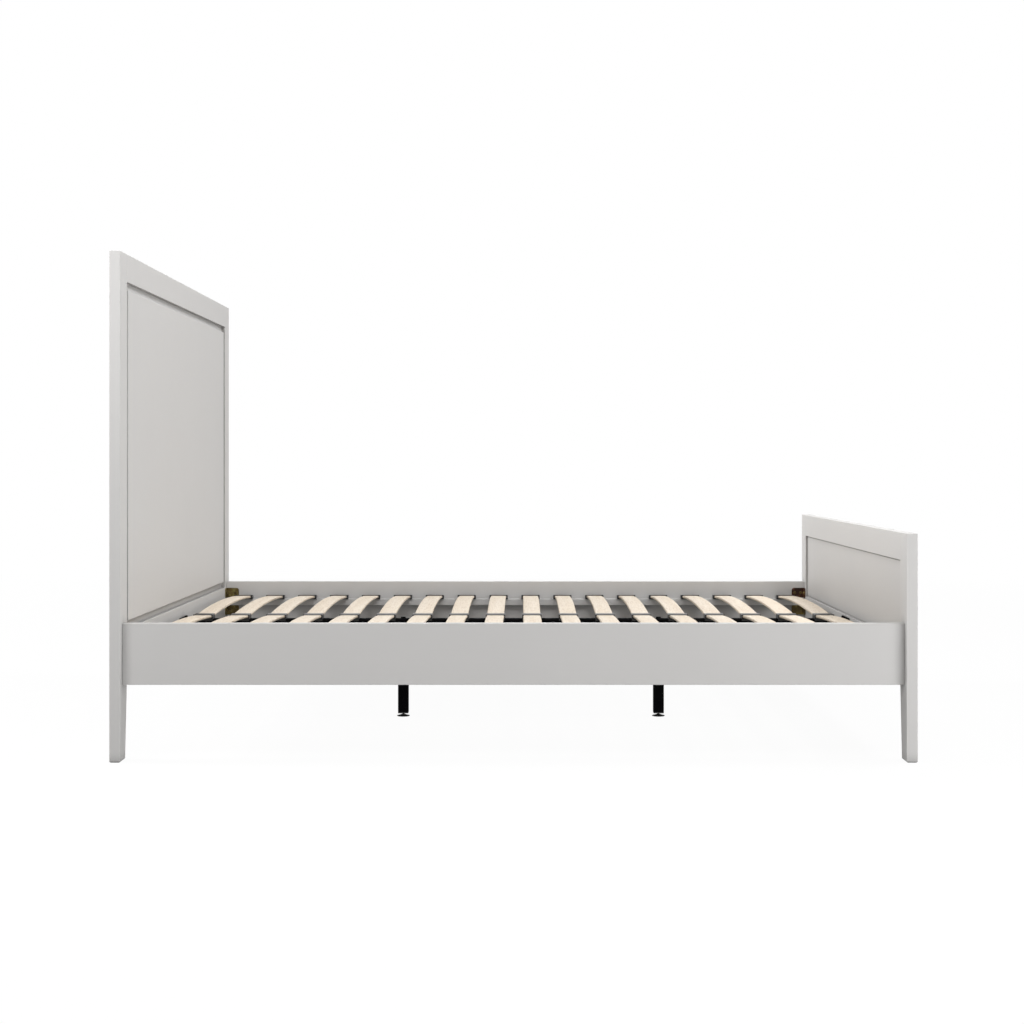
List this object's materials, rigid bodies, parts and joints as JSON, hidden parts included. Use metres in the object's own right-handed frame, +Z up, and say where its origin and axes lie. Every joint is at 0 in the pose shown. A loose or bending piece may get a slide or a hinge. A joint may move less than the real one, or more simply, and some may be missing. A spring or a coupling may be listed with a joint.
{
  "type": "bed frame",
  "caption": "Painted panelled bed frame with a tall headboard, low footboard, side rails, sprung slats in moulded holders and a steel centre rail on levelling legs.",
  "frame": {"origin": "middle of the bed at floor level, the bottom centre of its box", "axes": "+X from the headboard to the footboard, +Y to the right-hand side as seen from the foot of the bed, +Z up"},
  "size_m": [2.066, 1.61, 1.309],
  "materials": {
    "painted_frame": "smooth satin light warm grey paint on wood",
    "birch_slat": "clear-sealed laminated birch, fine straight grain",
    "slat_holder": "matt moulded dark grey plastic",
    "black_steel": "satin black powder coat",
    "black_plastic": "black moulded plastic plug",
    "leveller": "black moulded pad on a blackened threaded stud",
    "passivated_bracket": "yellow passivated pressed steel",
    "passivated_screw": "yellow passivated screw"
  },
  "bodies": {
    "bed_frame": {"headboard_post_left": "painted_frame", "headboard_post_right": "painted_frame", "headboard_top_rail": "painted_frame", "headboard_bottom_rail": "painted_frame", "headboard_panel": "painted_frame", "footboard_post_left": "painted_frame", "footboard_post_right": "painted_frame", "footboard_top_rail": "painted_frame", "footboard_bottom_rail": "painted_frame", "footboard_panel": "painted_frame", "side_rail_left": "painted_frame", "side_rail_right": "painted_frame", "slat_cleat_left": "painted_frame", "slat_cleat_right": "painted_frame", "slat_pair_01": "birch_slat", "slat_pair_02": "birch_slat", "slat_pair_03": "birch_slat", "slat_pair_04": "birch_slat", "slat_pair_05": "birch_slat", "slat_pair_06": "birch_slat", "slat_pair_07": "birch_slat", "slat_pair_08": "birch_slat", "slat_pair_09": "birch_slat", "slat_pair_10": "birch_slat", "slat_pair_11": "birch_slat", "slat_pair_12": "birch_slat", "slat_pair_13": "birch_slat", "slat_pair_14": "birch_slat", "slat_pair_15": "birch_slat", "slat_pair_16": "birch_slat", "slat_pair_17": "birch_slat", "slat_pair_18": "birch_slat", "slat_holders_left": "slat_holder", "slat_holders_right": "slat_holder", "centre_holders": "slat_holder", "centre_rail": "black_steel", "centre_rail_hanger_head": "black_steel", "centre_rail_hanger_foot": "black_steel", "centre_leg_head": "black_steel", "centre_leg_foot": "black_steel", "hanger_screws": "black_steel", "leg_bolts": "black_steel", "leg_top_plugs": "black_plastic", "leg_bottom_plugs": "black_plastic", "corner_brackets_head_left": "passivated_bracket", "corner_brackets_head_right": "passivated_bracket", "corner_brackets_foot_left": "passivated_bracket", "corner_brackets_foot_right": "passivated_bracket", "bracket_screws": "passivated_screw"},
    "leveller_head": {"leveller_head": "leveller"},
    "leveller_foot": {"leveller_foot": "leveller"}
  },
  "joints": [
    {"name": "leveller_head_travel", "type": "slide", "parent": "bed_frame", "child": "leveller_head", "axis": [0, 0, -1], "range_m": [-0.004, 0.015]},
    {"name": "leveller_foot_travel", "type": "slide", "parent": "bed_frame", "child": "leveller_foot", "axis": [0, 0, -1], "range_m": [-0.004, 0.015]}
  ]
}
